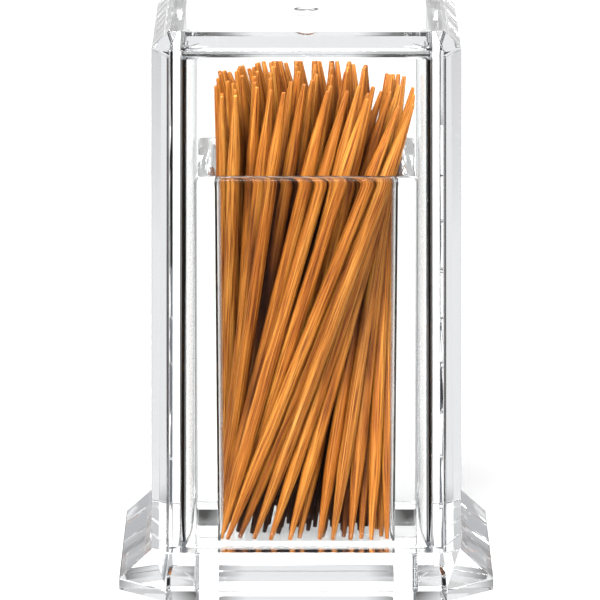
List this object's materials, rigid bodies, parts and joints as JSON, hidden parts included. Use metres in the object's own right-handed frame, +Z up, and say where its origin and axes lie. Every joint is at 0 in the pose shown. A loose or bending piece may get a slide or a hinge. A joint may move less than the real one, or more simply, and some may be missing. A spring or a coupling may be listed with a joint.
{
  "type": "toothpick dispenser",
  "caption": "Clear acrylic toothpick dispenser: a bevelled foot carries a square cup packed with bamboo toothpicks, under a thick square cover that lifts off.",
  "frame": {"origin": "centre of the foot's underside, on the table", "axes": "+Z up, -Y to the front as pictured, +X to the right"},
  "size_m": [0.0518, 0.0518, 0.0782],
  "materials": {
    "acrylic_clear": "polished clear acrylic",
    "bamboo": "plain cut bamboo"
  },
  "bodies": {
    "holder": {"base": "acrylic_clear", "cup": "acrylic_clear", "toothpicks_front": "bamboo", "toothpicks_left": "bamboo", "toothpicks_row_01": "bamboo", "toothpicks_row_02": "bamboo", "toothpicks_row_03": "bamboo", "toothpicks_row_04": "bamboo", "toothpicks_row_05": "bamboo", "toothpicks_row_06": "bamboo", "toothpicks_row_07": "bamboo", "toothpicks_row_08": "bamboo", "toothpicks_row_09": "bamboo", "toothpicks_row_10": "bamboo"},
    "lid": {"cover": "acrylic_clear"}
  },
  "joints": [
    {"name": "cover_lift", "type": "slide", "parent": "holder", "child": "lid", "axis": [0, 0, 1], "range_m": [0, 0.075]}
  ]
}
